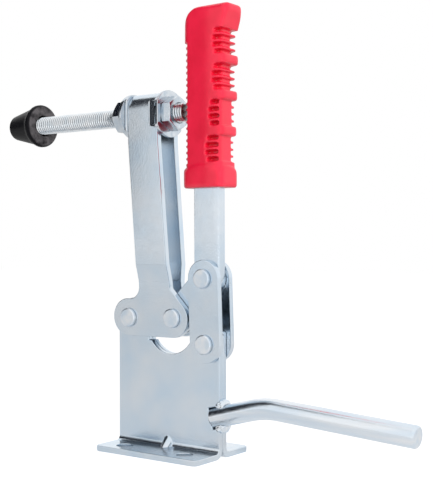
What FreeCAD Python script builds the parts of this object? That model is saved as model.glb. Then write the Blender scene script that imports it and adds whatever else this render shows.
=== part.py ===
import FreeCAD, Part
import math
import os
from FreeCAD import Vector

# Toggle clamp with an upright handle, drawn open. Millimetres, +Z up.
# X runs along the base plates, Y across them, and the two plates meet at Y = 0.
# The origin is on the surface the clamp stands on, at the centre of its base.

# Sheet thicknesses and running clearances
base_sheet = 2.5
arm_sheet = 2.8
link_sheet = 2.5
side_play = 0.2
head_play = 0.1
pin_play = 0.05
seat_play = 0.1

# Modelling: share of the largest possible radius used for a full round, and a match distance
full_round = 0.99
touch = 0.001

# Base plates: two pressings, back to back, each with a foot flange
base_width = 54.0
foot_reach = 18.5
base_bend = 2.0
foot_corner = 2.5
foot_hole = 6.8
foot_hole_from_end = 11.0
foot_hole_from_edge = 7.0
base_lobe = 8.4
link_lobe = 7.2
notch_land = 7.45
notch_drop = 2.6
dart_width = 5.2
dart_leg = 4.2
dart_wall = 2.0

# Pivots
arm_pivot_height = 56.1
handle_pivot_rise = 0.6
link_pivot_height = 46.7
link_pivot_inset = 5.5
link_length = 26.8
link_lean = 1.9
open_stop_gap = 0.5

# Rivets
rivet_shank = 6.0
rivet_head = 8.0
rivet_head_height = 1.5
rivet_head_chamfer = 0.4

# Arm: one strip folded over at the top, joggled in to its pivot lobes
arm_top = 151.8
arm_width = 16.3
arm_inside = 8.6
arm_taper = 0.3
arm_lobe = 7.9
arm_lobe_overhang = 1.0
arm_neck_offset = 2.1
arm_head_height = 20.8
arm_joggle_rise = 15.9
arm_joggle_height = 7.0
arm_joggle_bend = 3.0
arm_shoulder = 5.0

# Links
link_width = 15.4

# Handle: one strip folded to a narrow channel, with the web on its outer edge
bar_width = 12.7
bar_sheet = 2.0
bar_thickness = 5.0
bar_edge_round = 1.2
handle_lobe = 7.2
grip_base = 110.6

# Grip
grip_length = 74.2
grip_cap = 8.2
grip_left = 11.5
grip_right = 11.3
grip_half_thickness = 6.2
grip_nose_half = 4.3
grip_nose_round = 4.8
grip_crown_place = 3.3
grip_crown_round = 40.0
grip_outer_round = 2.6
grip_top_round = 10.0
grip_top_edge = 2.8
grip_lip_high = 12.9
grip_lip_low = 10.4
grip_lip_length = 10.1
grip_foot_length = 10.4
group_count = 4
closed_group_count = 2
groove_count = 4
ridge_height = 3.97
ridge_fade = 0.45
finger_plane = 8.4
finger_half = 3.0
finger_rib_height = 0.95
finger_rib_reach = 10.0
finger_rib_fade = 0.4
groove_end = 6.5
groove_end_step = 0.75
groove_middle_reach = 0.9
pocket_wall = 0.6
pocket_lead = 1.25
side_rib_count = 20
side_rib_height = 1.1
side_rib_sink = 0.35
side_rib_depth = 0.95
side_rib_end = 8.3
side_rib_from_top = 15.0
side_rib_from_base = 8.3
collar_low = 6.2
collar_high = 8.5
collar_step = 0.4
collar_reach = 10.3
neck_reach = 9.4

# Spindle and its fasteners
spindle_diameter = 8.0
spindle_drop = 6.4
spindle_tail = 2.0
spindle_to_grip = 0.6
spindle_reach = 76.3
bolt_head_height = 5.3
hex_across_flats = 13.0
nut_height = 6.5
nut_flange = 18.4
nut_flange_rim = 1.0
hex_chamfer = 0.7
washer_diameter = 20.0
washer_thickness = 1.5
washer_play = 0.2
washer_ear_length = 3.6
washer_ear_height = 12.0

# Rubber tip over the bolt head
tip_length = 18.5
tip_small = 10.8
tip_waist = 17.4
tip_large = 19.6
tip_lip_length = 4.6
tip_wall = 2.2
tip_mouth_play = 0.7
tip_edge = 1.0

# Rod welded into the edge of the base plates
rod_diameter = 8.6
rod_seat_depth = 4.6
rod_height = 16.3
rod_rise_angle = 14.8
rod_rise_length = 26.0
rod_fall_angle = 3.8
rod_fall_length = 65.6
rod_bend = 40.0
rod_end_round = 1.0
weld_radius = 2.6
weld_length = 6.0
weld_taper = 1.2

# Places that follow from the sizes above
arm_pivot = (-base_width / 2 + base_lobe, arm_pivot_height)
link_pivot = (base_width / 2 - link_pivot_inset, link_pivot_height)
lean = math.radians(link_lean)
handle_link_pivot = (link_pivot[0] - link_length * math.sin(lean),
                     link_pivot[1] + link_length * math.cos(lean))
handle_pivot_height = arm_pivot_height + handle_pivot_rise
link_edge_at_pivot = (link_pivot[0] - link_width / 2 / math.cos(lean)
                      - (handle_pivot_height - link_pivot[1]) * math.tan(lean))
handle_pivot = (link_edge_at_pivot - open_stop_gap - arm_lobe, handle_pivot_height)
outer_layer = base_sheet + side_play
arm_low_face = outer_layer + arm_sheet
link_face = outer_layer + link_sheet
arm_middle = (arm_pivot[0] + handle_pivot[0]) / 2
bar_x = handle_link_pivot[0]
head_right = bar_x - grip_left - spindle_to_grip - spindle_tail - nut_height - washer_thickness
head_left = head_right - arm_width
spindle_z = arm_top - arm_sheet - spindle_drop
tip_nose = head_left - spindle_reach
tip_mouth = tip_nose + tip_length
bolt_face = tip_mouth - tip_wall
grip_top = grip_base + grip_length
bar_top = grip_top - grip_cap
fingers_top = grip_top - grip_lip_length
group_height = ((grip_length - grip_lip_length - grip_foot_length - (group_count - 1) * ridge_height)
                / group_count)
groove_height = (group_height - (groove_count - 1) * finger_rib_height) / groove_count


# Outlines with rounded corners
def lift(plane, u, v):
    return {"xz": Vector(u, 0, v), "yz": Vector(0, u, v), "xy": Vector(u, v, 0)}[plane]


def corner(before, here, after, radius):
    """Tangent points and middle of the arc that rounds one corner of a path."""
    ax, ay = before[0] - here[0], before[1] - here[1]
    bx, by = after[0] - here[0], after[1] - here[1]
    a, b = math.hypot(ax, ay), math.hypot(bx, by)
    ax, ay, bx, by = ax / a, ay / a, bx / b, by / b
    half = math.acos(max(-1, min(1, ax * bx + ay * by))) / 2
    run = radius / math.tan(half)
    mx, my = ax + bx, ay + by
    m = math.hypot(mx, my)
    reach = radius / math.sin(half) - radius
    return ((here[0] + ax * run, here[1] + ay * run),
            (here[0] + mx / m * reach, here[1] + my / m * reach),
            (here[0] + bx * run, here[1] + by * run))


def path_edges(plane, points, radii, closed):
    """Straight edges and tangent arcs along a path; a radius of 0 is a sharp corner."""
    count = len(points)
    stops, arcs = [], []
    for i, here in enumerate(points):
        at_end = not closed and i in (0, count - 1)
        if at_end or radii[i] == 0:
            stops.append((here, here))
            arcs.append(None)
            continue
        start, middle, end = corner(points[i - 1], here, points[(i + 1) % count], radii[i])
        stops.append((start, end))
        arcs.append(Part.Arc(*[lift(plane, *p) for p in (start, middle, end)]).toShape())
    edges = []
    for i in range(count if closed else count - 1):
        a, b = lift(plane, *stops[i][1]), lift(plane, *stops[(i + 1) % count][0])
        if (b - a).Length > touch / 100:
            edges.append(Part.makeLine(a, b))
        if arcs[(i + 1) % count]:
            edges.append(arcs[(i + 1) % count])
    return edges


def outline(plane, points, radii):
    return Part.Face(Part.Wire(path_edges(plane, points, radii, True)))


def slab(points, radii, low, high):
    """A flat piece with its outline in XZ, from Y = low to Y = high."""
    face = outline("xz", points, radii)
    face.translate(Vector(0, low, 0))
    return face.extrude(Vector(0, high - low, 0))


def folded_strip(points, radii, thickness, width):
    """Sheet of one thickness folded along a centre line in YZ, and width wide about X = 0."""
    half = thickness / 2

    def side(sign):
        found = []
        for i, here in enumerate(points):
            before = points[max(i - 1, 0)]
            after = points[min(i + 1, len(points) - 1)]
            if before == here:
                before = (2 * here[0] - after[0], 2 * here[1] - after[1])
            if after == here:
                after = (2 * here[0] - before[0], 2 * here[1] - before[1])
            d1 = math.atan2(here[1] - before[1], here[0] - before[0])
            d2 = math.atan2(after[1] - here[1], after[0] - here[0])
            turn = (d2 - d1 + math.pi) % (2 * math.pi) - math.pi
            normal = d1 + turn / 2 + sign * math.pi / 2
            reach = half / math.cos(turn / 2)
            spot = (here[0] + reach * math.cos(normal), here[1] + reach * math.sin(normal))
            found.append((spot, max(radii[i] - sign * math.copysign(half, turn), 0) if radii[i] else 0))
        return found

    loop = side(1) + side(-1)[::-1]
    face = outline("yz", [p for p, _ in loop], [r for _, r in loop])
    face.translate(Vector(-width / 2, 0, 0))
    return face.extrude(Vector(width, 0, 0))


def across(place, diameter, low, high):
    """A round bar along Y at one pivot."""
    return Part.makeCylinder(diameter / 2, high - low, Vector(place[0], low, place[1]), Vector(0, 1, 0))


def along(diameter, start, end, z):
    """A round bar along X on the spindle's height."""
    return Part.makeCylinder(diameter / 2, end - start, Vector(start, 0, z), Vector(1, 0, 0))


def taper_between(first, first_radius, second, second_radius, low, high):
    """Two round lobes joined by their common tangents, as a flat piece."""
    dx, dz = second[0] - first[0], second[1] - first[1]
    length = math.hypot(dx, dz)
    swing = math.acos((first_radius - second_radius) / length)
    heading = math.atan2(dz, dx)
    corners = []
    for place, radius, sign in ((first, first_radius, 1), (second, second_radius, 1),
                                (second, second_radius, -1), (first, first_radius, -1)):
        angle = heading + sign * swing
        corners.append((place[0] + radius * math.cos(angle), place[1] + radius * math.sin(angle)))
    body = slab(corners, [0] * 4, low, high)
    body = body.fuse([across(first, 2 * first_radius, low, high),
                      across(second, 2 * second_radius, low, high)])
    return body.removeSplitter()


def mirrored(shape):
    return shape.mirror(Vector(0, 0, 0), Vector(0, 1, 0))


def save(name, shape):
    os.makedirs("parts", exist_ok=True)
    shape.exportStep("parts/" + name + ".step")


# Base plates
def dart_rib(width, sink):
    """A round-topped bar that slopes at 45 degrees across the inside of the foot bend."""
    length = 2 * dart_leg
    body = Part.makeCylinder(width / 2, length, Vector(0, 0, -length / 2), Vector(0, 0, 1))
    body = body.fuse(Part.makeBox(width, sink, length, Vector(-width / 2, 0, -length / 2)))
    body.rotate(Vector(0, 0, 0), Vector(1, 0, 0), -45)
    centre = base_sheet + dart_leg / 2 - dart_width / 2 * math.sqrt(0.5)
    body.translate(Vector(0, -centre, centre))
    return body


def base_plate():
    """The front pressing: an upright wall, a foot bent outwards and a dart in the bend."""
    half = base_width / 2
    bend = base_bend + base_sheet / 2
    top = arm_pivot[1] + base_lobe
    middle = base_sheet / 2
    plate = folded_strip([(-middle, top), (-middle, middle), (-foot_reach, middle)],
                         [0, bend, 0], base_sheet, base_width)
    shape = slab([(-half, 0), (half, 0), (half, link_pivot[1]), (-half, link_pivot[1])],
                 [0] * 4, -foot_reach, 0)
    post = slab([(-half, 0), (arm_pivot[0] + base_lobe, 0),
                 (arm_pivot[0] + base_lobe, arm_pivot[1]), (-half, arm_pivot[1])],
                [0] * 4, -foot_reach, 0)
    shape = shape.fuse([post, across(arm_pivot, 2 * base_lobe, -foot_reach, 0),
                        across(link_pivot, 2 * link_lobe, -foot_reach, 0)])
    notch = ((arm_pivot[0] + link_pivot[0]) / 2, handle_pivot[1] - notch_drop)
    notch_width = link_pivot[0] - arm_pivot[0] - 2 * notch_land
    shape = shape.cut(across(notch, notch_width, -foot_reach, 0))
    plate = plate.common(shape)
    keep = Part.makeBox(base_width, foot_reach - base_sheet / 2, top,
                        Vector(-half, -foot_reach, base_sheet / 2))
    plate = plate.fuse(dart_rib(dart_width, dart_width / 2).common(keep))
    plate = plate.cut(dart_rib(dart_width - 2 * dart_wall, dart_width))
    plate = plate.removeSplitter()
    tips = [e for e in plate.Edges
            if abs(e.CenterOfMass.y + foot_reach) < touch
            and abs(abs(e.CenterOfMass.x) - half) < touch]
    plate = plate.makeFillet(foot_corner, tips)
    for side in (-1, 1):
        spot = Vector(side * (half - foot_hole_from_end), foot_hole_from_edge - foot_reach, 0)
        plate = plate.cut(Part.makeCylinder(foot_hole / 2, base_sheet, spot))
    for pivot in (arm_pivot, link_pivot):
        plate = plate.cut(across(pivot, rivet_shank + 2 * pin_play, -base_sheet, 0))
    return plate.cut(rod_seat())


# Rod and its welds
def rod_points():
    rise, fall = math.radians(rod_rise_angle), math.radians(rod_fall_angle)
    start = (base_width / 2 - rod_seat_depth, rod_height)
    bend = (start[0] + rod_rise_length * math.cos(rise), start[1] + rod_rise_length * math.sin(rise))
    end = (bend[0] + rod_fall_length * math.cos(fall), bend[1] - rod_fall_length * math.sin(fall))
    return [start, bend, end]


def rod_seat():
    """The slot cut in the edge of both plates, along the rod's first run."""
    start = rod_points()[0]
    seat = Part.makeBox(2 * rod_seat_depth, 2 * base_sheet, rod_diameter + 2 * seat_play,
                        Vector(-seat_play, -base_sheet, -rod_diameter / 2 - seat_play))
    seat.rotate(Vector(0, 0, 0), Vector(0, 1, 0), -rod_rise_angle)
    seat.translate(Vector(start[0], 0, start[1]))
    return seat


def support_rod():
    points = rod_points()
    path = Part.Wire(path_edges("xz", points, [0, rod_bend, 0], False))
    rise = math.radians(rod_rise_angle)
    start = Vector(points[0][0], 0, points[0][1])
    ring = Part.Wire(Part.makeCircle(rod_diameter / 2, start, Vector(math.cos(rise), 0, math.sin(rise))))
    rod = path.makePipeShell([ring], True, True)
    end = max((e for e in rod.Edges if e.isClosed()), key=lambda e: e.CenterOfMass.x)
    return rod.makeFillet(rod_end_round, [end])


def rod_welds(rod, plates):
    """Beads that close the corners between the rod and the plates' edges, above and below."""
    start, bend, _ = rod_points()
    slope = (bend[1] - start[1]) / (bend[0] - start[0])
    edge = base_width / 2
    axis_z = start[1] + slope * (edge - start[0])
    beads = []
    for side in (-1, 1):
        place = (edge, axis_z + side * rod_diameter / 2)
        bead = across(place, 2 * weld_radius, -weld_length / 2, weld_length / 2)
        bead = bead.makeChamfer(weld_taper, [e for e in bead.Edges if e.isClosed()])
        beads.append(bead.cut([rod] + plates))
    return Part.makeCompound([max(b.Solids, key=lambda s: s.Volume) for b in beads])


# Arm
def arm():
    """One strip folded over the spindle, leaning back to its neck and joggled to the lobes."""
    low_z = arm_pivot[1] - arm_lobe
    joggle_low = arm_pivot[1] + arm_joggle_rise
    joggle_high = joggle_low + arm_joggle_height
    half = arm_sheet / 2
    low = outer_layer + half
    top_half = arm_inside / 2 + half
    high = top_half - arm_taper
    crown = arm_top - half
    side = [(low, low_z - arm_sheet), (low, joggle_low), (high, joggle_high), (top_half, crown)]
    section = [(-y, z) for y, z in side] + side[::-1]
    leg_lean = math.atan2(arm_taper, crown - joggle_high)
    fold = full_round * top_half * math.tan(math.pi / 4 - leg_lean / 2)
    radii = [0, arm_joggle_bend, arm_joggle_bend, fold, fold, arm_joggle_bend, arm_joggle_bend, 0]
    strip = folded_strip(section, radii, arm_sheet, 2 * base_width)

    neck_x = arm_middle + arm_neck_offset
    left = arm_pivot[0] - arm_lobe_overhang - arm_lobe
    right = handle_pivot[0] + arm_lobe
    centre_z = (arm_pivot[1] + handle_pivot[1]) / 2
    bottom, shoulder = centre_z - arm_lobe, centre_z + arm_lobe
    neck_right = neck_x + arm_width / 2
    slope_sum = handle_pivot[0] + centre_z + arm_lobe * math.sqrt(2)
    head_z = arm_top - arm_head_height
    points = [(head_left, arm_top + arm_sheet), (head_left, head_z),
              (neck_x - arm_width / 2, shoulder), (left, shoulder), (left, bottom),
              (right, bottom), (right, slope_sum - right),
              (neck_right, slope_sum - neck_right), (head_right, head_z),
              (head_right, arm_top + arm_sheet)]
    radii = [0, arm_width, arm_shoulder, arm_lobe, arm_lobe, arm_lobe, arm_lobe, arm_shoulder / 2,
             arm_width, 0]
    blank = slab(points, radii, -2 * top_half, 2 * top_half)
    body = strip.common(blank)
    for pivot in (arm_pivot, handle_pivot):
        body = body.cut(across(pivot, rivet_shank + 2 * pin_play, -arm_low_face, arm_low_face))
    return body.removeSplitter()


# Links and handle bar
def link():
    body = taper_between(link_pivot, link_width / 2, handle_link_pivot, link_width / 2,
                         -link_face, -outer_layer)
    for pivot in (link_pivot, handle_link_pivot):
        body = body.cut(across(pivot, rivet_shank + 2 * pin_play, -link_face, -outer_layer))
    return body


def handle_bar():
    """A strip folded to a channel: open on the inner edge, with both pivot lobes below."""
    half = bar_thickness / 2
    left, right = bar_x - bar_width / 2, bar_x + bar_width / 2
    low = handle_link_pivot[1]
    upright = slab([(left, low), (right, low), (right, bar_top), (left, bar_top)], [0] * 4, -half, half)
    folds = [e for e in upright.Edges
             if abs(e.CenterOfMass.x - right) < touch and abs(abs(e.CenterOfMass.y) - half) < touch]
    lobes = taper_between(handle_link_pivot, bar_width / 2, handle_pivot, handle_lobe, -half, half)
    body = upright.makeFillet(bar_edge_round, folds).fuse(lobes).removeSplitter()
    gap = bar_thickness - 2 * bar_sheet
    web = right - bar_sheet
    left = handle_pivot[0] - 2 * handle_lobe
    low = handle_pivot[1] - handle_lobe - gap
    channel = Part.makeBox(web - left, gap, bar_top - low + gap, Vector(left, -gap / 2, low))
    body = body.cut(channel)
    for pivot in (handle_pivot, handle_link_pivot):
        body = body.cut(across(pivot, rivet_shank + 2 * pin_play, -half, half))
    return body


# Grip
def grip_section(reach, low, high, grow=0):
    """One stretch of the grip: a round nose, two crowned sides and a flat outer face."""
    left, half = bar_x - grip_left - grow, grip_half_thickness + grow
    crown, right = bar_x + grip_crown_place, bar_x + reach
    nose = grip_nose_half + grow
    slope = math.atan2(half - nose, crown - left)
    room = right - crown - grip_outer_round
    crown_round = min(grip_crown_round, full_round * room / math.tan(slope / 2))
    rounds = [grip_nose_round, crown_round, grip_outer_round]
    face = outline("xy", [(left, -nose), (crown, -half), (right, -half),
                          (right, half), (crown, half), (left, nose)], rounds + rounds[::-1])
    face.translate(Vector(0, 0, low))
    return face.extrude(Vector(0, 0, high - low))


def grip_lip():
    """The lip above the fingers, which flares outwards to the top."""
    body = grip_section(grip_lip_high, fingers_top, grip_top)
    left, right = bar_x - grip_left, bar_x + grip_lip_high
    half = grip_half_thickness
    side = slab([(left, fingers_top), (bar_x + grip_lip_low, fingers_top),
                 (right, grip_top - grip_top_edge), (right, grip_top), (left, grip_top)],
                [0, 0, grip_top_edge / 2, grip_top_edge / 2, grip_top_round], -half, half)
    front = outline("yz", [(-half, fingers_top), (half, fingers_top),
                           (half, grip_top), (-half, grip_top)], [0, 0, grip_top_edge, grip_top_edge])
    front.translate(Vector(left, 0, 0))
    return body.common(side).common(front.extrude(Vector(right - left, 0, 0)))


def collar():
    """A band round the grip's foot, with a low arch in its upper edge on every side."""
    half = grip_half_thickness + collar_step
    left, right = bar_x - grip_left - collar_step, bar_x + collar_reach
    base, low, high = grip_base, grip_base + collar_low, grip_base + 2 * collar_high - collar_low
    middle = (left + right) / 2
    band = grip_section(collar_reach, base, high, collar_step)
    side = slab([(left, base), (right, base), (right, low), (middle, high), (left, low)],
                [0, 0, 0, grip_crown_round / 2, 0], -half, half)
    front = outline("yz", [(-half, base), (half, base), (half, low), (0, high), (-half, low)],
                    [0, 0, 0, grip_crown_round / 4, 0])
    front.translate(Vector(left, 0, 0))
    arches = side.fuse(front.extrude(Vector(right - left, 0, 0)))
    return band.common(arches)


def finger_group(number):
    """One group of finger ribs, the grooves between them and the broad ridge below it."""
    top = fingers_top - number * (group_height + ridge_height)
    base = top - group_height
    closed = number >= group_count - closed_group_count
    reach = finger_rib_reach - number * finger_rib_fade
    lead = pocket_lead * max(number - group_count + closed_group_count + 1, 0)
    solids, cuts = [grip_section(reach, base, top)], []
    if number < group_count - 1:
        solids.append(grip_section(grip_right - number * ridge_fade, base - ridge_height, base))
    for groove in range(groove_count):
        high = top - groove * (groove_height + finger_rib_height)
        low = high - groove_height
        end_groove = groove in (0, groove_count - 1)
        inner = bar_x + groove_end - number * groove_end_step / 2 - lead
        if not end_groove:
            inner -= groove_middle_reach
        outer = bar_x + grip_lip_high
        if not closed:
            corner = Vector(bar_x + finger_plane, -grip_half_thickness, low)
            cuts.append(Part.makeBox(outer - corner.x, 2 * grip_half_thickness, groove_height, corner))
        for side in (-1, 1):
            shut = closed and side < 0
            end = bar_x + reach - pocket_wall if shut else outer
            inner_round = full_round * min(groove_height, end - inner) / 2
            outer_round = inner_round if shut else 0
            faces = sorted((side * finger_half, 2 * side * grip_half_thickness))
            cuts.append(slab([(inner, low), (end, low), (end, high), (inner, high)],
                             [inner_round, outer_round, outer_round, inner_round], *faces))
    return solids, cuts


def side_rings():
    """The grooves that leave fine ribs round the grip's nose, below a smooth upper part."""
    first = grip_top - side_rib_from_top
    last = grip_base + side_rib_from_base
    pitch = (first - last) / side_rib_count
    centre = bar_x - grip_left + grip_nose_round
    left, right = bar_x - grip_left - touch, bar_x - side_rib_end

    def ring(low, high, depth):
        block = Part.makeBox(right - left, 2 * grip_half_thickness, high - low,
                             Vector(left, -grip_half_thickness, low))
        return block.cut(Part.makeCylinder(grip_nose_round - depth, high - low, Vector(centre, 0, low)))

    gap = pitch - side_rib_height
    rings = [ring(last - gap / 2, first + gap / 2, side_rib_sink)]
    for number in range(side_rib_count + 1):
        middle = last + number * pitch
        rings.append(ring(middle - gap / 2, middle + gap / 2, side_rib_sink + side_rib_depth))
    return rings


def grip():
    """A moulded grip: finger ribs and ridges outside, fine ribs round its nose, a collar below."""
    solids, cuts = [grip_lip()], side_rings()
    for number in range(group_count):
        more_solids, more_cuts = finger_group(number)
        solids += more_solids
        cuts += more_cuts
    solids.append(grip_section(neck_reach, grip_base, grip_base + grip_foot_length))
    room = Vector(seat_play, seat_play, seat_play)
    corner = Vector(bar_x - bar_width / 2, -bar_thickness / 2, grip_base) - room
    socket = Part.makeBox(bar_width + 2 * seat_play, bar_thickness + 2 * seat_play,
                          bar_top - grip_base + 2 * seat_play, corner)
    body = solids[0].fuse(solids[1:]).removeSplitter().cut(cuts)
    return body.fuse(collar()).removeSplitter().cut(socket)


# Rivets
def rivet_end(pivot, face):
    """A low round head, one head's play clear of the front face it closes on."""
    inner = -face - head_play
    head = across(pivot, rivet_head, inner - rivet_head_height, inner)
    rim = min((e for e in head.Edges if e.isClosed()), key=lambda e: e.CenterOfMass.y)
    return head.makeChamfer(rivet_head_chamfer, [rim])


def rivet(pivot, face):
    reach = face + head_play
    head = rivet_end(pivot, face)
    body = across(pivot, rivet_shank, -reach, reach).fuse([head, mirrored(head)])
    return body.removeSplitter()


def rivet_stub(pivot, face, inner_face):
    """One end of the lower link rivet, as far as the inner face of its link."""
    body = across(pivot, rivet_shank, -face - head_play, -inner_face)
    return body.fuse(rivet_end(pivot, face)).removeSplitter()


# Spindle, nuts and washers
def hexagon(start, end, vertex_forward):
    radius = hex_across_flats / math.sqrt(3)
    turn = math.pi if vertex_forward else math.pi + math.pi / 6
    points = [(radius * math.cos(turn + i * math.pi / 3),
               spindle_z + radius * math.sin(turn + i * math.pi / 3)) for i in range(6)]
    face = outline("yz", points, [0] * 6)
    face.translate(Vector(start, 0, 0))
    prism = face.extrude(Vector(end - start, 0, 0))
    round_blank = along(2 * radius, start, end, spindle_z)
    rims = [e for e in round_blank.Edges if e.isClosed()]
    return prism.common(round_blank.makeChamfer(hex_chamfer, rims))


def nut(seat, outward, vertex_forward):
    """A hexagon nut whose conical flange bears on the washer."""
    end = seat + outward * nut_height
    body = hexagon(min(seat, end), max(seat, end), vertex_forward)
    corner_radius = hex_across_flats / math.sqrt(3)
    rim = seat + outward * nut_flange_rim
    cone = rim + outward * (nut_flange / 2 - corner_radius + hex_chamfer)
    profile = outline("xz", [(seat, 0), (seat, nut_flange / 2), (rim, nut_flange / 2),
                             (cone, corner_radius - hex_chamfer), (cone, 0)], [0] * 5)
    flange = profile.revolve(Vector(0, 0, 0), Vector(1, 0, 0), 360)
    flange.translate(Vector(0, 0, spindle_z))
    bore = along(spindle_diameter + 2 * pin_play, min(seat, end), max(seat, end), spindle_z)
    return body.fuse(flange).cut(bore).removeSplitter()


def washer(seat, outward):
    """A disc against the strip's edges, with one ear bent over the face of one leg."""
    inner = arm_inside / 2 + arm_sheet + seat_play
    outer = inner + washer_thickness
    back = seat + outward * washer_thickness
    tip = seat - outward * washer_ear_length
    start = min(seat, back)
    disc = along(washer_diameter, start, start + washer_thickness, spindle_z)
    fold = outline("xy", [(tip, -inner), (back, -inner), (back, -outer), (tip, -outer)],
                   [0, 0, full_round * washer_thickness, washer_thickness / 4])
    half = washer_ear_height / 2
    fold.translate(Vector(0, 0, spindle_z - half))
    ear = fold.extrude(Vector(0, 0, washer_ear_height))
    left, right = min(tip, back), max(tip, back)
    shape = slab([(left, spindle_z - half), (right, spindle_z - half),
                  (right, spindle_z + half), (left, spindle_z + half)],
                 [half / 3 if x == tip else 0 for x in (left, right, right, left)], -outer, -inner)
    ear = ear.common(shape)
    if outward < 0:
        ear = mirrored(ear)
    bore = along(spindle_diameter + 2 * washer_play, start, start + washer_thickness, spindle_z)
    return disc.fuse(ear).cut(bore).removeSplitter()


def spindle():
    """A hexagon bolt, threaded to its head, which sits in the rubber tip."""
    end = head_right + washer_thickness + nut_height + spindle_tail
    body = along(spindle_diameter, bolt_face - bolt_head_height / 2, end, spindle_z)
    tail = max((e for e in body.Edges if e.isClosed()), key=lambda e: e.CenterOfMass.x)
    body = body.makeChamfer(spindle_diameter / 12, [tail])
    return body.fuse(hexagon(bolt_face - bolt_head_height, bolt_face, True)).removeSplitter()


def rubber_tip():
    """A blunt cone stretched over the bolt head, with a thick rolled lip round its mouth."""
    waist = tip_mouth - tip_lip_length
    lip = tip_mouth - tip_lip_length / 2
    points = [(tip_nose, 0), (tip_nose, tip_small / 2), (waist, tip_waist / 2),
              (lip, tip_large / 2), (tip_mouth, tip_large / 2), (tip_mouth, 0)]
    body = outline("xz", points, [0] * 6).revolve(Vector(0, 0, 0), Vector(1, 0, 0), 360)
    body.translate(Vector(0, 0, spindle_z))
    ends = [e for e in body.Edges if e.isClosed() and e.BoundBox.XLength < touch
            and min(abs(e.CenterOfMass.x - tip_nose), abs(e.CenterOfMass.x - tip_mouth)) < touch]
    body = body.makeChamfer(tip_edge, ends)
    pocket = along(2 * hex_across_flats / math.sqrt(3) + 2 * seat_play,
                   bolt_face - bolt_head_height - seat_play, bolt_face + seat_play, spindle_z)
    opening = along(spindle_diameter + 2 * tip_mouth_play, bolt_face, tip_mouth, spindle_z)
    return body.cut([pocket, opening])


front_plate = base_plate()
rear_plate = mirrored(front_plate)
rod = support_rod()
save("base_plate_front", front_plate)
save("base_plate_rear", rear_plate)
save("support_rod", rod)
save("rod_welds", rod_welds(rod, [front_plate, rear_plate]))

save("arm", arm())
save("handle_bar", handle_bar())
save("grip", grip())
front_link = link()
save("link_front", front_link)
save("link_rear", mirrored(front_link))

save("rivet_arm_base", rivet(arm_pivot, arm_low_face))
save("rivet_arm_handle", rivet(handle_pivot, arm_low_face))
save("rivet_handle_link", rivet(handle_link_pivot, link_face))
save("rivet_link_base_core", across(link_pivot, rivet_shank, -base_sheet, base_sheet))
front_stub = rivet_stub(link_pivot, link_face, outer_layer)
save("rivet_link_base_front", front_stub)
save("rivet_link_base_rear", mirrored(front_stub))

save("spindle", spindle())
save("spindle_nut_front", nut(head_left - washer_thickness, -1, True))
save("spindle_nut_rear", nut(head_right + washer_thickness, 1, False))
save("flanged_washer_front", washer(head_left, -1))
save("flanged_washer_rear", washer(head_right, 1))
save("rubber_tip", rubber_tip())
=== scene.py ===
import math

import bpy
from mathutils import Matrix, Vector


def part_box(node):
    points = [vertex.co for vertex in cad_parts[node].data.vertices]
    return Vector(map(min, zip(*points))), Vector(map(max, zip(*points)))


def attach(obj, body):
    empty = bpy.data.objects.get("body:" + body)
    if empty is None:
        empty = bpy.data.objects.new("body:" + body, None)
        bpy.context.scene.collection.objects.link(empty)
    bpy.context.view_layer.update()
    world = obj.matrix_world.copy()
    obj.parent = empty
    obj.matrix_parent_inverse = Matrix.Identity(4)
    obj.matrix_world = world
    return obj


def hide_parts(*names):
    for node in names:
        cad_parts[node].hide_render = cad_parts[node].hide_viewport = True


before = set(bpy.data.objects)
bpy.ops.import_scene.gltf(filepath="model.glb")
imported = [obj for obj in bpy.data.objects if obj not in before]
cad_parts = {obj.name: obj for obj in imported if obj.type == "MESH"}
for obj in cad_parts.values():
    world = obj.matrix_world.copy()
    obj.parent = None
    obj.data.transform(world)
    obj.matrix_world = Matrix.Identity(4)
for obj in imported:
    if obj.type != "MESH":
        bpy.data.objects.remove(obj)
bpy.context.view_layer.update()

# Base plates
# Two pressings of 2.5 mm sheet steel stand back to back, each with its foot bent outwards.
# Their blanked edges are eased by tumbling, and the zinc plate is a satin blue-grey in soft clouds.
SHEET_EDGE = 0.00038
FACET_GAP = 0.000002
CUT_TOLERANCE = 0.0000001
FLAT_ANGLE = math.radians(0.6)
SHARP_ANGLE = math.radians(32)
ZINC_COOL = (0.570, 0.675, 0.775, 1)
ZINC_WARM = (0.670, 0.725, 0.780, 1)
GLOSS_PER_CLOUD = 5


def selected_alone(piece):
    """Makes one piece the only one that the next operations work on."""
    bpy.ops.object.select_all(action="DESELECT")
    bpy.context.view_layer.objects.active = piece
    piece.select_set(True)


def apply_modifier(piece, kind, **settings):
    """Adds one modifier with its settings and applies it to the piece."""
    selected_alone(piece)
    modifier = piece.modifiers.new(kind.title(), kind)
    for name, value in settings.items():
        setattr(modifier, name, value)
    bpy.ops.object.modifier_apply(modifier=modifier.name)


def merged_copy(node, name):
    """A copy of a solid with its loose facets joined."""
    piece = bpy.data.objects.new(name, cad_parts[node].data.copy())
    bpy.context.scene.collection.objects.link(piece)
    selected_alone(piece)
    bpy.ops.object.mode_set(mode="EDIT")
    bpy.ops.mesh.select_all(action="SELECT")
    bpy.ops.mesh.remove_doubles(threshold=FACET_GAP)
    bpy.ops.object.mode_set(mode="OBJECT")
    return piece


def cut_away(piece, place, normal):
    """Takes off the part of a piece on the side that the normal points to, and closes the cut."""
    selected_alone(piece)
    bpy.ops.object.mode_set(mode="EDIT")
    bpy.ops.mesh.select_all(action="SELECT")
    bpy.ops.mesh.bisect(plane_co=place, plane_no=normal, use_fill=True, clear_outer=True,
                        threshold=CUT_TOLERANCE)
    bpy.ops.object.mode_set(mode="OBJECT")


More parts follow.
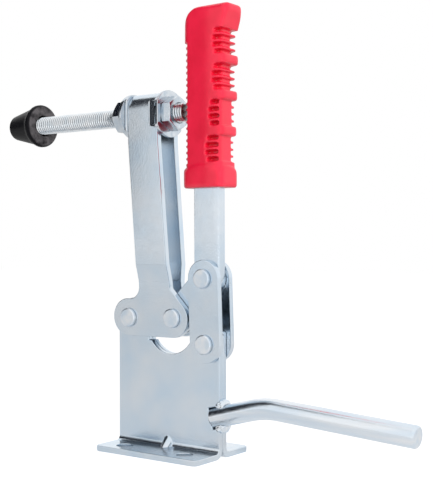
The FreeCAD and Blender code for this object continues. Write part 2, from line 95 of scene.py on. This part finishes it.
def ease_edges(piece, edge, steps=2):
    """Merges flat facets into faces and rounds a piece's sharp edges over."""
    selected_alone(piece)
    bpy.ops.object.mode_set(mode="EDIT")
    bpy.ops.mesh.select_all(action="SELECT")
    bpy.ops.mesh.dissolve_limited(angle_limit=FLAT_ANGLE)
    bpy.ops.object.mode_set(mode="OBJECT")
    apply_modifier(piece, "BEVEL", width=edge, segments=steps, limit_method="ANGLE",
                   angle_limit=SHARP_ANGLE, use_clamp_overlap=False)
    bpy.ops.object.shade_smooth_by_angle(angle=SHARP_ANGLE)
    apply_modifier(piece, "WEIGHTED_NORMAL", weight=100, keep_sharp=True)


def eased_copy(node, name, edge, steps=2):
    """A copy of a solid with its sharp edges rounded over."""
    piece = merged_copy(node, name)
    ease_edges(piece, edge, steps)
    return piece


def dress(piece, body, slot, material, *nodes):
    """Gives a piece its finish, the body it moves with and the plain solids it stands for."""
    piece.data.materials.clear()
    piece.data.materials.append(material)
    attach(piece, body)
    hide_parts(*nodes)


def noise(nodes, links, vector, size, detail):
    """Noise whose blotches are about size metres across."""
    pattern = nodes.new("ShaderNodeTexNoise")
    pattern.inputs["Scale"].default_value = 1 / size
    pattern.inputs["Detail"].default_value = detail
    links.new(vector, pattern.inputs["Vector"])
    return pattern.outputs["Fac"]


def blend_colours(nodes, links, factor, first, second, span=(0.35, 0.65)):
    """A ramp from one colour to another over part of a pattern's range."""
    ramp = nodes.new("ShaderNodeValToRGB")
    for stop, position, colour in zip(ramp.color_ramp.elements, span, (first, second)):
        stop.position = position
        stop.color = colour
    links.new(factor, ramp.inputs["Fac"])
    return ramp.outputs["Color"]


def bumped(nodes, links, height, distance, surface):
    """Raises a pattern's bright parts by distance metres."""
    bump = nodes.new("ShaderNodeBump")
    bump.inputs["Strength"].default_value = 1
    bump.inputs["Distance"].default_value = distance
    links.new(height, bump.inputs["Height"])
    links.new(bump.outputs["Normal"], surface.inputs["Normal"])


def zinc_plate(name, cool, warm, cloud, gloss, grain, grain_height, along=(1, 1, 1)):
    """Bright zinc on steel: cloudy tint, uneven gloss from low to high, and a fine grain."""
    material = bpy.data.materials.new(name)
    material.use_nodes = True
    nodes, links = material.node_tree.nodes, material.node_tree.links
    surface = nodes["Principled BSDF"]
    surface.inputs["Metallic"].default_value = 1
    place = nodes.new("ShaderNodeTexCoord")
    stretch = nodes.new("ShaderNodeMapping")
    stretch.inputs["Scale"].default_value = along
    links.new(place.outputs["Object"], stretch.inputs["Vector"])
    spot = stretch.outputs["Vector"]
    tint = blend_colours(nodes, links, noise(nodes, links, spot, cloud, detail=4), cool, warm)
    links.new(tint, surface.inputs["Base Color"])
    polish = nodes.new("ShaderNodeMapRange")
    polish.inputs["To Min"].default_value = gloss[0]
    polish.inputs["To Max"].default_value = gloss[1]
    patches = noise(nodes, links, spot, cloud / GLOSS_PER_CLOUD, detail=5)
    links.new(patches, polish.inputs["Value"])
    links.new(polish.outputs["Result"], surface.inputs["Roughness"])
    bumped(nodes, links, noise(nodes, links, spot, grain, detail=2), grain_height, surface)
    return material


sheet_zinc = zinc_plate("sheet_zinc", ZINC_COOL, ZINC_WARM, cloud=0.018, gloss=(0.15, 0.28),
                        grain=0.0008, grain_height=0.000020)
for side in ("front", "rear"):
    plate = eased_copy("base_plate_" + side, "base_pressing_" + side, SHEET_EDGE)
    for vertex in plate.data.vertices:
        vertex.co.z = max(vertex.co.z, 0)
    dress(plate, "base", "zinc_sheet", sheet_zinc, "base_plate_" + side)

# Rod
# A length of round bar, cold bent once, lies in a slot in the plates' edges and is welded there.
# Its plate is brighter than the sheet's and keeps faint lines from the drawing of the bar. Both of
# its ends are rounded over.
ROD_COOL = (0.62, 0.71, 0.80, 1)
ROD_WARM = (0.78, 0.81, 0.84, 1)
ROD_DRAWN = (0.12, 1, 1)
ROD_END = 0.0007
rod_zinc = zinc_plate("rod_zinc", ROD_COOL, ROD_WARM, cloud=0.005, gloss=(0.13, 0.30),
                      grain=0.0009, grain_height=0.000030, along=ROD_DRAWN)
rod = eased_copy("support_rod", "bent_rod", ROD_END, steps=3)
dress(rod, "base", "zinc_rod", rod_zinc, "support_rod")

# Weld beads
# Two short beads of weld metal close the corners above and below the rod.
# They are lumpy and plated over with the rest.
WELD_VOXEL = 0.00018
WELD_LUMP_SIZE = 0.0013
WELD_LUMP_HEIGHT = 0.0010
WELD_SMOOTHING = 2
weld_zinc = zinc_plate("weld_zinc", ROD_COOL, ROD_WARM, cloud=0.003, gloss=(0.16, 0.34),
                       grain=0.0009, grain_height=0.00004)
beads = merged_copy("rod_welds", "weld_beads")
apply_modifier(beads, "REMESH", mode="VOXEL", voxel_size=WELD_VOXEL)
lumps = bpy.data.textures.new("weld_lumps", "CLOUDS")
lumps.noise_scale = WELD_LUMP_SIZE
apply_modifier(beads, "DISPLACE", texture=lumps, texture_coords="LOCAL", strength=WELD_LUMP_HEIGHT)
apply_modifier(beads, "SMOOTH", iterations=WELD_SMOOTHING)
bpy.ops.object.shade_smooth()
dress(beads, "base", "weld", weld_zinc, "rod_welds")

# Arm
# One strip of 2.8 mm sheet is folded over the spindle and joggled in to its two pivot lobes.
# It is plated like the base, and its long blanked edges catch the light.
arm_strip = eased_copy("arm", "folded_arm", SHEET_EDGE)
dress(arm_strip, "arm", "zinc_sheet", sheet_zinc, "arm")

# Links
# A pair of flat bars with round ends joins the handle's corner to the base. They are cut from the
# same sheet as the base and plated with it.
for side in ("front", "rear"):
    link = eased_copy("link_" + side, "link_bar_" + side, SHEET_EDGE)
    dress(link, "links", "zinc_sheet", sheet_zinc, "link_" + side)

# Handle bar
# A strip folded to a narrow channel, with its round folded edge outwards and two pivot lobes below.
# It carries the grip on its upper end.
bar = eased_copy("handle_bar", "handle_channel", SHEET_EDGE)
dress(bar, "handle", "zinc_sheet", sheet_zinc, "handle_bar")

# Rivets
# Four solid rivets with low, flat heads are the pivots. The heads are closed by an orbital press,
# which leaves a soft rim. The middle of the lowest one stays in the base, out of sight.
RIVET_RIM = 0.0002
head_zinc = zinc_plate("head_zinc", ROD_COOL, ROD_WARM, cloud=0.004, gloss=(0.24, 0.36),
                       grain=0.0005, grain_height=0.000008)
for node, body in (("rivet_arm_base", "base"), ("rivet_arm_handle", "arm"),
                   ("rivet_handle_link", "handle"), ("rivet_link_base_front", "links"),
                   ("rivet_link_base_rear", "links")):
    pin = eased_copy(node, node + "_pin", RIVET_RIM)
    dress(pin, body, "zinc_fastener", head_zinc, node)
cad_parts["rivet_link_base_core"].data.materials.clear()
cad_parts["rivet_link_base_core"].data.materials.append(head_zinc)

# Spindle
# A hexagon bolt, threaded up to its head, with its tail towards the grip. The crests of the thread
# are narrow and bright, and shade is painted into the colour in its roots.
THREAD_PITCH = 0.00125
THREAD_DEPTH = 0.00068
THREAD_CREST = 0.00012
THREAD_STEPS = 48
SPARE_TURNS = 2
THREAD_RADIUS = 0.004
# Painted shade: the share of the colour that is left at the thread's roots.
ROOT_SHADE = 0.30
BOLT_HEAD_DEPTH = 0.0035
BOLT_HEAD_EDGE = 0.0002
THREAD_COOL = (0.74, 0.80, 0.85, 1)
THREAD_WARM = (0.86, 0.88, 0.90, 1)
SCREW_COOL = (0.50, 0.57, 0.64, 1)
SCREW_WARM = (0.64, 0.68, 0.72, 1)
screw_zinc = zinc_plate("screw_zinc", SCREW_COOL, SCREW_WARM, cloud=0.003, gloss=(0.10, 0.24),
                        grain=0.0008, grain_height=0.000010)
thread_zinc = zinc_plate("thread_zinc", THREAD_COOL, THREAD_WARM, cloud=0.004, gloss=(0.20, 0.32),
                         grain=0.0005, grain_height=0.000004)
spindle_low, spindle_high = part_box("spindle")
spindle_axis = (spindle_low[2] + spindle_high[2]) / 2
tip_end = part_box("rubber_tip")[1][0]


def outline(name, corners):
    """A closed outline in the plane of the spindle's axis, through (x, radius) corners."""
    bpy.ops.object.select_all(action="DESELECT")
    bpy.ops.mesh.primitive_circle_add(vertices=len(corners), radius=THREAD_RADIUS)
    piece = bpy.context.object
    piece.name = name
    for vertex, (x, radius) in zip(piece.data.vertices, corners):
        vertex.co = (x, 0, radius)
    return piece


def thread(name, start, end):
    """A closed thread along X from start to end, wound from one pitch of its profile."""
    turns = math.ceil((end - start) / THREAD_PITCH) + SPARE_TURNS
    crest, root = THREAD_RADIUS, THREAD_RADIUS - THREAD_DEPTH
    profile = ((0, root), (THREAD_CREST, root), (THREAD_PITCH / 2, crest),
               (THREAD_PITCH / 2 + THREAD_CREST, crest), (THREAD_PITCH, root))
    piece = outline(name, [(start - THREAD_PITCH + x, z) for x, z in profile])
    bpy.ops.object.mode_set(mode="EDIT")
    bpy.ops.mesh.select_all(action="DESELECT")
    bpy.ops.object.mode_set(mode="OBJECT")
    for edge in piece.data.edges:
        edge.select = set(edge.vertices) == {0, len(profile) - 1}
    bpy.ops.object.mode_set(mode="EDIT")
    bpy.ops.mesh.select_mode(type="EDGE")
    bpy.ops.mesh.delete(type="EDGE")
    bpy.ops.mesh.select_mode(type="VERT")
    bpy.ops.object.mode_set(mode="OBJECT")
    apply_modifier(piece, "SCREW", axis="X", steps=THREAD_STEPS, render_steps=THREAD_STEPS,
                   screw_offset=THREAD_PITCH, iterations=turns, use_merge_vertices=True,
                   merge_threshold=FACET_GAP)
    bpy.ops.object.mode_set(mode="EDIT")
    bpy.ops.mesh.select_all(action="SELECT")
    bpy.ops.mesh.remove_doubles(threshold=FACET_GAP)
    for x, keep in ((start, "clear_inner"), (end, "clear_outer")):
        bpy.ops.mesh.select_all(action="SELECT")
        bpy.ops.mesh.bisect(plane_co=(x, 0, 0), plane_no=(1, 0, 0), use_fill=True,
                            threshold=CUT_TOLERANCE, **{keep: True})
    bpy.ops.mesh.select_all(action="SELECT")
    bpy.ops.mesh.normals_make_consistent(inside=False)
    bpy.ops.transform.translate(value=(0, 0, spindle_axis))
    bpy.ops.object.mode_set(mode="OBJECT")
    bpy.ops.object.shade_smooth_by_angle(angle=SHARP_ANGLE)
    return piece


def painted_root_shade(material):
    """Paints shade into the colour deep in the thread's roots, by the distance from the spindle's
    axis.
    """
    nodes, links = material.node_tree.nodes, material.node_tree.links
    surface = nodes["Principled BSDF"]
    tint = surface.inputs["Base Color"].links[0].from_socket
    place = nodes.new("ShaderNodeTexCoord")
    across = nodes.new("ShaderNodeVectorMath")
    across.operation = "MULTIPLY_ADD"
    across.inputs[1].default_value = (0, 1, 1)
    across.inputs[2].default_value = (0, 0, -spindle_axis)
    links.new(place.outputs["Object"], across.inputs[0])
    radius = nodes.new("ShaderNodeVectorMath")
    radius.operation = "LENGTH"
    links.new(across.outputs["Vector"], radius.inputs[0])
    depth = nodes.new("ShaderNodeMapRange")
    depth.inputs["From Min"].default_value = THREAD_RADIUS - THREAD_DEPTH
    depth.inputs["From Max"].default_value = THREAD_RADIUS - THREAD_CREST
    depth.inputs["To Min"].default_value = ROOT_SHADE
    links.new(radius.outputs["Value"], depth.inputs["Value"])
    shade = nodes.new("ShaderNodeVectorMath")
    shade.operation = "SCALE"
    links.new(tint, shade.inputs[0])
    links.new(depth.outputs["Result"], shade.inputs["Scale"])
    links.new(shade.outputs["Vector"], surface.inputs["Base Color"])


head_end = tip_end - BOLT_HEAD_DEPTH
# Paints shade into the thread's roots.
painted_root_shade(thread_zinc)
screw = thread("threaded_spindle", head_end - THREAD_PITCH, spindle_high[0])
bolt_head = merged_copy("spindle", "bolt_head")
cut_away(bolt_head, (head_end, 0, 0), (1, 0, 0))
ease_edges(bolt_head, BOLT_HEAD_EDGE)
dress(screw, "spindle", "zinc_fastener", thread_zinc, "spindle")
dress(bolt_head, "spindle", "zinc_fastener", screw_zinc, "spindle")

# Nuts
# Two low hexagon nuts lock the spindle, their corners turned off on both faces. The front one bears
# on a thick plain washer, the rear one straight on its eared washer.
NUT_FLATS = 0.013
NUT_CORNER = 0.0011
NUT_CHAMFER = 0.00065
NUT_BORE = 0.00405
NUT_MOUTH = 0.0005
NUT_SPARE = 0.2
NUT_EDGE = 0.00012
FRONT_NUT = (-0.02700, -0.02110)
FRONT_WASHER = (-0.02110, -0.01931)
REAR_NUT = (0.00002, 0.00490)
WASHER_RADIUS = 0.0096
WASHER_EDGE = 0.0002
LATHE_STEPS = 97


def turned(name, profile):
    """A ring turned about the spindle's axis from a closed profile of (x, radius) corners."""
    piece = outline(name, profile)
    apply_modifier(piece, "SCREW", axis="X", steps=LATHE_STEPS, render_steps=LATHE_STEPS,
                   use_merge_vertices=True, merge_threshold=FACET_GAP)
    bpy.ops.object.mode_set(mode="EDIT")
    bpy.ops.mesh.select_all(action="SELECT")
    bpy.ops.mesh.normals_make_consistent(inside=False)
    bpy.ops.transform.translate(value=(0, 0, spindle_axis))
    bpy.ops.object.mode_set(mode="OBJECT")
    return piece


def plain_ring(name, start, end, radius):
    """A bored disc from start to end."""
    return turned(name, [(start, NUT_BORE), (end, NUT_BORE), (end, radius), (start, radius)])


def hexagon_nut(name, start, end, first_corner):
    """A bored hexagon whose corners are turned off at both faces."""
    corner = NUT_FLATS / math.sqrt(3)
    middle = (start + end) / 2
    bpy.ops.object.select_all(action="DESELECT")
    bpy.ops.mesh.primitive_cylinder_add(vertices=6, radius=corner, depth=end - start,
                                        rotation=(0, math.pi / 2, 0))
    piece = bpy.context.object
    piece.name = name
    bpy.ops.object.transform_apply(location=True, rotation=True, scale=True)
    piece.rotation_euler = (first_corner, 0, 0)
    piece.location = (middle, 0, spindle_axis)
    bpy.ops.object.transform_apply(location=True, rotation=True, scale=True)
    rim = corner + NUT_SPARE * NUT_CORNER
    chamfer = NUT_CHAMFER * (1 + NUT_SPARE)
    blank = turned(name + "_blank", [
        (start, NUT_BORE + NUT_MOUTH), (start + NUT_MOUTH, NUT_BORE), (end - NUT_MOUTH, NUT_BORE),
        (end, NUT_BORE + NUT_MOUTH), (end, corner - NUT_CORNER), (end - chamfer, rim),
        (start + chamfer, rim), (start, corner - NUT_CORNER)])
    apply_modifier(piece, "BOOLEAN", operation="INTERSECT", solver="EXACT", object=blank)
    bpy.data.objects.remove(blank)
    ease_edges(piece, NUT_EDGE)
    return piece


front_nut = hexagon_nut("front_nut", *FRONT_NUT, first_corner=0)
front_ring = plain_ring("front_plain_washer", *FRONT_WASHER, WASHER_RADIUS)
rear_nut = hexagon_nut("rear_nut", *REAR_NUT, first_corner=math.pi / 6)
ease_edges(front_ring, WASHER_EDGE)
for piece, node in ((front_nut, "spindle_nut_front"), (front_ring, "spindle_nut_front"),
                    (rear_nut, "spindle_nut_rear")):
    dress(piece, "arm", "zinc_fastener", screw_zinc, node)

# Eared washers
# Each is a pressed disc with a flat edge on either side, the front one with a third on top. At one
# of them an ear is bent over a leg of the arm, so that the disc can't turn, and is coined a little
# thinner towards its free end.
EAR_FACE = 0.0087
EAR_THINNED = 0.00045
EAR_EDGE = 0.0003
EAR_REACH = 0.00002
FLAT_SIDE = 0.0075
FLAT_TOP = 0.0088
for side, hand in (("front", 1), ("rear", -1)):
    washer = merged_copy("flanged_washer_" + side, "eared_washer_" + side)
    cut_away(washer, (0, hand * (EAR_FACE + FACET_GAP), 0), (0, hand, 0))
    cut_away(washer, (0, -hand * FLAT_SIDE, 0), (0, -hand, 0))
    if side == "front":
        cut_away(washer, (0, 0, spindle_axis + FLAT_TOP), (0, 0, 1))
    low = min(vertex.co.x for vertex in washer.data.vertices)
    high = max(vertex.co.x for vertex in washer.data.vertices)
    fold, free_end = (low, high) if hand > 0 else (high, low)
    for vertex in washer.data.vertices:
        if hand * vertex.co.y > EAR_FACE - EAR_REACH:
            vertex.co.y -= hand * EAR_THINNED * (vertex.co.x - fold) / (free_end - fold)
    ease_edges(washer, EAR_EDGE)
    dress(washer, "arm", "zinc_fastener", screw_zinc, "flanged_washer_" + side)

# Rubber tip
# A moulded cone of black rubber, stretched over the bolt's head. Its side is smooth from the mould,
# and its open end has a painted sheen: mottled grey put into the colour where light glances off it.
RUBBER_BLACK = (0.0045, 0.0045, 0.0060, 1)
PAINTED_SHEEN_GREY = (0.105, 0.098, 0.103, 1)
RUBBER_ROUGHNESS = 0.36
RUBBER_SHEEN = 0.08
RUBBER_PEBBLE = 0.00002
RUBBER_EDGE = 0.0005
PAINTED_SHEEN_START = 0.0006
PAINTED_SHEEN_FULL = 0.0001
PAINTED_SHEEN_SPAN = (0.28, 0.55)
rubber = bpy.data.materials.new("black_rubber")
rubber.use_nodes = True
nodes, links = rubber.node_tree.nodes, rubber.node_tree.links
surface = nodes["Principled BSDF"]
surface.inputs["Roughness"].default_value = RUBBER_ROUGHNESS
surface.inputs["Specular IOR Level"].default_value = RUBBER_SHEEN
place = nodes.new("ShaderNodeTexCoord")
split = nodes.new("ShaderNodeSeparateXYZ")
links.new(place.outputs["Object"], split.inputs["Vector"])
# Painted sheen: the open end is mottled grey in its colour, standing in for light glancing off it.
mouth = nodes.new("ShaderNodeMapRange")
mouth.inputs["From Min"].default_value = tip_end - PAINTED_SHEEN_START
mouth.inputs["From Max"].default_value = tip_end - PAINTED_SHEEN_FULL
links.new(split.outputs["X"], mouth.inputs["Value"])
sheen_patches = noise(nodes, links, place.outputs["Object"], size=0.0035, detail=4)
painted_sheen = blend_colours(nodes, links, sheen_patches, RUBBER_BLACK, PAINTED_SHEEN_GREY, PAINTED_SHEEN_SPAN)
skin = nodes.new("ShaderNodeMix")
skin.data_type = "RGBA"
skin.inputs["A"].default_value = RUBBER_BLACK
links.new(mouth.outputs["Result"], skin.inputs["Factor"])
links.new(painted_sheen, skin.inputs["B"])
links.new(skin.outputs["Result"], surface.inputs["Base Color"])
pebble = noise(nodes, links, place.outputs["Object"], size=0.0007, detail=3)
bumped(nodes, links, pebble, RUBBER_PEBBLE, surface)
cone = eased_copy("rubber_tip", "rubber_cone", RUBBER_EDGE, steps=3)
dress(cone, "spindle", "black_rubber", rubber, "rubber_tip")

# Grip
# A red moulding pushed over the bar, with finger grooves outside and fine ribs inside. Every edge
# is rounded by the mould, and the skin has a faint pebble.
GRIP_VOXEL = 0.00034
GRIP_SMOOTHING = 7
GRIP_ROUNDING = 42
GRIP_LIP = 0.0101
GRIP_GROUP = 0.01045
GRIP_RIDGE = 0.00397
GRIP_RIDGES = 3
GRIP_COLLAR = 0.0088
RIDGE_START = 0.0255
GRIP_RED = (0.86, 0.014, 0.055, 1)
GRIP_DEEP = (0.74, 0.009, 0.040, 1)
GRIP_ROUGHNESS = 0.29
GRIP_SHEEN = 0.55
GRIP_PEBBLE = 0.000012
red = bpy.data.materials.new("red_moulding")
red.use_nodes = True
nodes, links = red.node_tree.nodes, red.node_tree.links
surface = nodes["Principled BSDF"]
place = nodes.new("ShaderNodeTexCoord")
tint = noise(nodes, links, place.outputs["Object"], size=0.011, detail=4)
links.new(blend_colours(nodes, links, tint, GRIP_DEEP, GRIP_RED), surface.inputs["Base Color"])
surface.inputs["Roughness"].default_value = GRIP_ROUGHNESS
surface.inputs["Specular IOR Level"].default_value = GRIP_SHEEN
pebble = noise(nodes, links, place.outputs["Object"], size=0.0008, detail=3)
bumped(nodes, links, pebble, GRIP_PEBBLE, surface)
handle_grip = merged_copy("grip", "moulded_grip")
apply_modifier(handle_grip, "REMESH", mode="VOXEL", voxel_size=GRIP_VOXEL)
grip_low, grip_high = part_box("grip")
bands = [(grip_high[2] - GRIP_LIP, grip_high[2], grip_low[0]),
         (grip_low[2], grip_low[2] + GRIP_COLLAR, grip_low[0])]
for ridge in range(GRIP_RIDGES):
    top = grip_high[2] - GRIP_LIP - GRIP_GROUP - ridge * (GRIP_GROUP + GRIP_RIDGE)
    bands.append((top - GRIP_RIDGE, top, RIDGE_START))
broad = handle_grip.vertex_groups.new(name="broad_forms")
for vertex in handle_grip.data.vertices:
    if any(low <= vertex.co.z <= high and vertex.co.x >= left for low, high, left in bands):
        broad.add([vertex.index], 1, "REPLACE")
apply_modifier(handle_grip, "SMOOTH", iterations=GRIP_ROUNDING, vertex_group=broad.name)
apply_modifier(handle_grip, "SMOOTH", iterations=GRIP_SMOOTHING)
bpy.ops.object.shade_smooth()
dress(handle_grip, "handle", "red_grip", red, "grip")

# Studio
# A pale floor that fades into a white background, two soft lamps that the metal doesn't show, and a
# dark wing at the left, which it shows along its edges and folds.
STUDIO = 4.0
bpy.ops.object.select_all(action="DESELECT")
bpy.ops.mesh.primitive_plane_add(size=STUDIO)
floor = bpy.context.object
floor.name = "floor"


def seen_level(nodes, links, unseen, camera, glossy, target):
    """Drives a strength by how it is seen: by light alone, by the camera, or in a reflection."""
    ray = nodes.new("ShaderNodeLightPath")
    plain = nodes.new("ShaderNodeMapRange")
    plain.inputs["To Min"].default_value = unseen
    plain.inputs["To Max"].default_value = glossy
    links.new(ray.outputs["Is Glossy Ray"], plain.inputs["Value"])
    shown = nodes.new("ShaderNodeMix")
    shown.inputs["B"].default_value = camera
    links.new(ray.outputs["Is Camera Ray"], shown.inputs["Factor"])
    links.new(plain.outputs["Result"], shown.inputs["A"])
    links.new(shown.outputs["Result"], target)


PAPER_WHITE = (0.82, 0.82, 0.82, 1)
MATT = 0.9
FLOOR_GLOW = 0.60
FLOOR_REFLECTED = 0.22
paper = bpy.data.materials.new("paper")
paper.use_nodes = True
surface = paper.node_tree.nodes["Principled BSDF"]
surface.inputs["Base Color"].default_value = PAPER_WHITE
surface.inputs["Roughness"].default_value = MATT
surface.inputs["Specular IOR Level"].default_value = 0
surface.inputs["Emission Color"].default_value = (1, 1, 1, 1)
seen_level(paper.node_tree.nodes, paper.node_tree.links, 0, FLOOR_GLOW, FLOOR_REFLECTED,
           surface.inputs["Emission Strength"])
floor.data.materials.append(paper)

WING_PLACE = (-0.86, -0.36, 0.86)
WING_SIZE = (1.50, 0.86)
FELT_BLACK = (0.010, 0.012, 0.020, 1)
bpy.ops.object.select_all(action="DESELECT")
wing_turn = math.atan2(WING_PLACE[1], WING_PLACE[0])
bpy.ops.mesh.primitive_plane_add(size=1, location=WING_PLACE, rotation=(0, math.pi / 2, wing_turn))
wing = bpy.context.object
wing.name = "dark_wing"
wing.scale = (*WING_SIZE, 1)
wing.visible_camera = False
wing.visible_shadow = False
felt = bpy.data.materials.new("dark_felt")
felt.use_nodes = True
surface = felt.node_tree.nodes["Principled BSDF"]
surface.inputs["Base Color"].default_value = FELT_BLACK
surface.inputs["Roughness"].default_value = MATT
surface.inputs["Specular IOR Level"].default_value = 0
wing.data.materials.append(felt)

AMBIENT = 0.50
BACKGROUND = 1.0
REFLECTED = 1.10
world = bpy.data.worlds.new("studio")
bpy.context.scene.world = world
world.use_nodes = True
sky = world.node_tree.nodes["Background"]
sky.inputs["Color"].default_value = (1, 1, 1, 1)
seen_level(world.node_tree.nodes, world.node_tree.links, AMBIENT, BACKGROUND, REFLECTED,
           sky.inputs["Strength"])

LAMPS = (("key_lamp", (0.85, -0.80, 0.55), 0.6, 12.0),
         ("back_lamp", (0.90, 0.75, 0.35), 0.7, 2.0))
AIM = Vector((0, 0, 0.09))
for name, place, size, power in LAMPS:
    lamp = bpy.data.objects.new(name, bpy.data.lights.new(name, "AREA"))
    lamp.data.shape = "DISK"
    lamp.data.size = size
    lamp.data.energy = power
    lamp.location = place
    lamp.visible_glossy = False
    lamp.rotation_euler = (Vector(place) - AIM).to_track_quat("Z", "Y").to_euler()
    bpy.context.scene.collection.objects.link(lamp)

# Camera
# It stands level with the clamp's middle, in front and to the right.
CAMERA_PLACE = (0.2673, -0.3324, 0.0899)
CAMERA_TURN = math.radians(36.21)
CAMERA_DIP = math.radians(0.12)
CAMERA_ROLL = math.radians(-0.15)
LENS_LENGTH = 75.41
SENSOR_WIDTH = 36
NEAREST = 0.01
camera = bpy.data.objects.new("camera", bpy.data.cameras.new("camera"))
camera.data.lens = LENS_LENGTH
camera.data.sensor_width = SENSOR_WIDTH
camera.data.clip_start = NEAREST
camera.matrix_world = (Matrix.Translation(CAMERA_PLACE) @ Matrix.Rotation(CAMERA_TURN, 4, "Z")
                       @ Matrix.Rotation(math.pi / 2 - CAMERA_DIP, 4, "X")
                       @ Matrix.Rotation(CAMERA_ROLL, 4, "Z"))
bpy.context.scene.collection.objects.link(camera)
bpy.context.scene.camera = camera
bpy.context.scene.view_settings.view_transform = "Standard"
